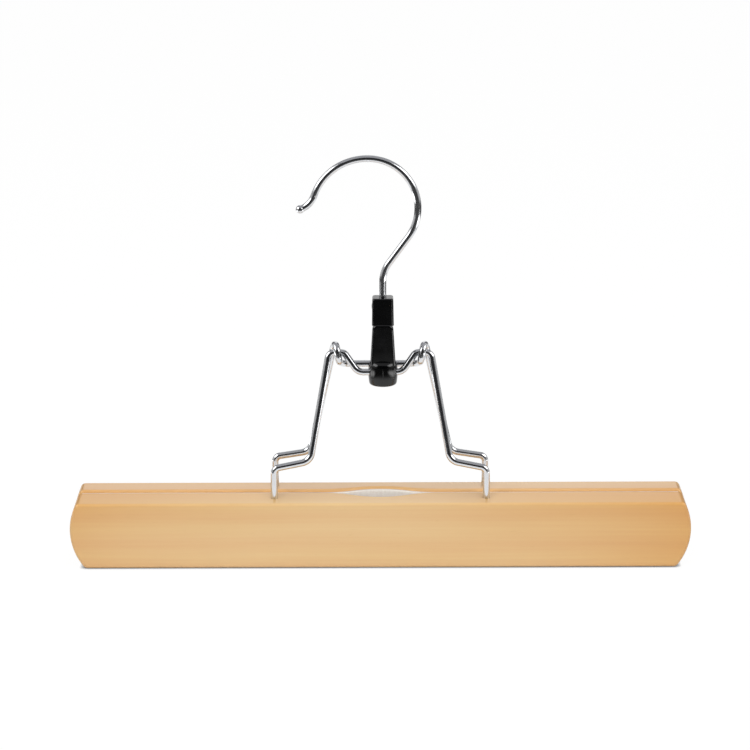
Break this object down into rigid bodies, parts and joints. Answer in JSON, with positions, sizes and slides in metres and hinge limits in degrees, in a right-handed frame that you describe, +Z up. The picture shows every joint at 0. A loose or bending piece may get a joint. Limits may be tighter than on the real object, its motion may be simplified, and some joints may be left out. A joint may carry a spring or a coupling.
{
  "type": "skirt hanger",
  "caption": "Clamp hanger: felt-lined wooden bars on hinged chromed wire frames, closed by a tilting black lever with a swivel hook.",
  "frame": {"origin": "under the middle of the two bars, at the level of their bottom edges", "axes": "+X along the bars, +Y from the front bar to the rear bar, +Z up towards the hook"},
  "size_m": [0.25, 0.031, 0.1664],
  "materials": {
    "bar_wood": "clear lacquer",
    "felt": "matt felt",
    "wire_chrome": "bright plating",
    "lever_plastic": "glossy moulding",
    "pin_plastic": "glossy moulding"
  },
  "bodies": {
    "front_half": {"front_bar": "bar_wood", "front_felt": "felt", "front_wire": "wire_chrome"},
    "rear_half": {"rear_bar": "bar_wood", "rear_felt": "felt", "rear_wire": "wire_chrome"},
    "lever": {"lock_lever": "lever_plastic", "hook_retaining_pin": "pin_plastic"},
    "hook_wire": {"hook": "wire_chrome"}
  },
  "joints": [
    {"name": "clamp_open", "type": "hinge", "parent": "front_half", "child": "rear_half", "pos_m": [0, 0, 0.0862], "axis": [1, 0, 0], "range_deg": [0, 20]},
    {"name": "lever_tilt", "type": "hinge", "parent": "front_half", "child": "lever", "pos_m": [0, -0.00147, 0.0784], "axis": [1, 0, 0], "range_deg": [0, 50]},
    {"name": "hook_swivel", "type": "hinge", "parent": "lever", "child": "hook_wire", "pos_m": [0.0012, 0, 0.105], "axis": [0, 0, 1], "continuous": true}
  ],
  "couplings": [
    {"joint": "lever_tilt", "follows": "clamp_open", "ratio": 2.5}
  ]
}
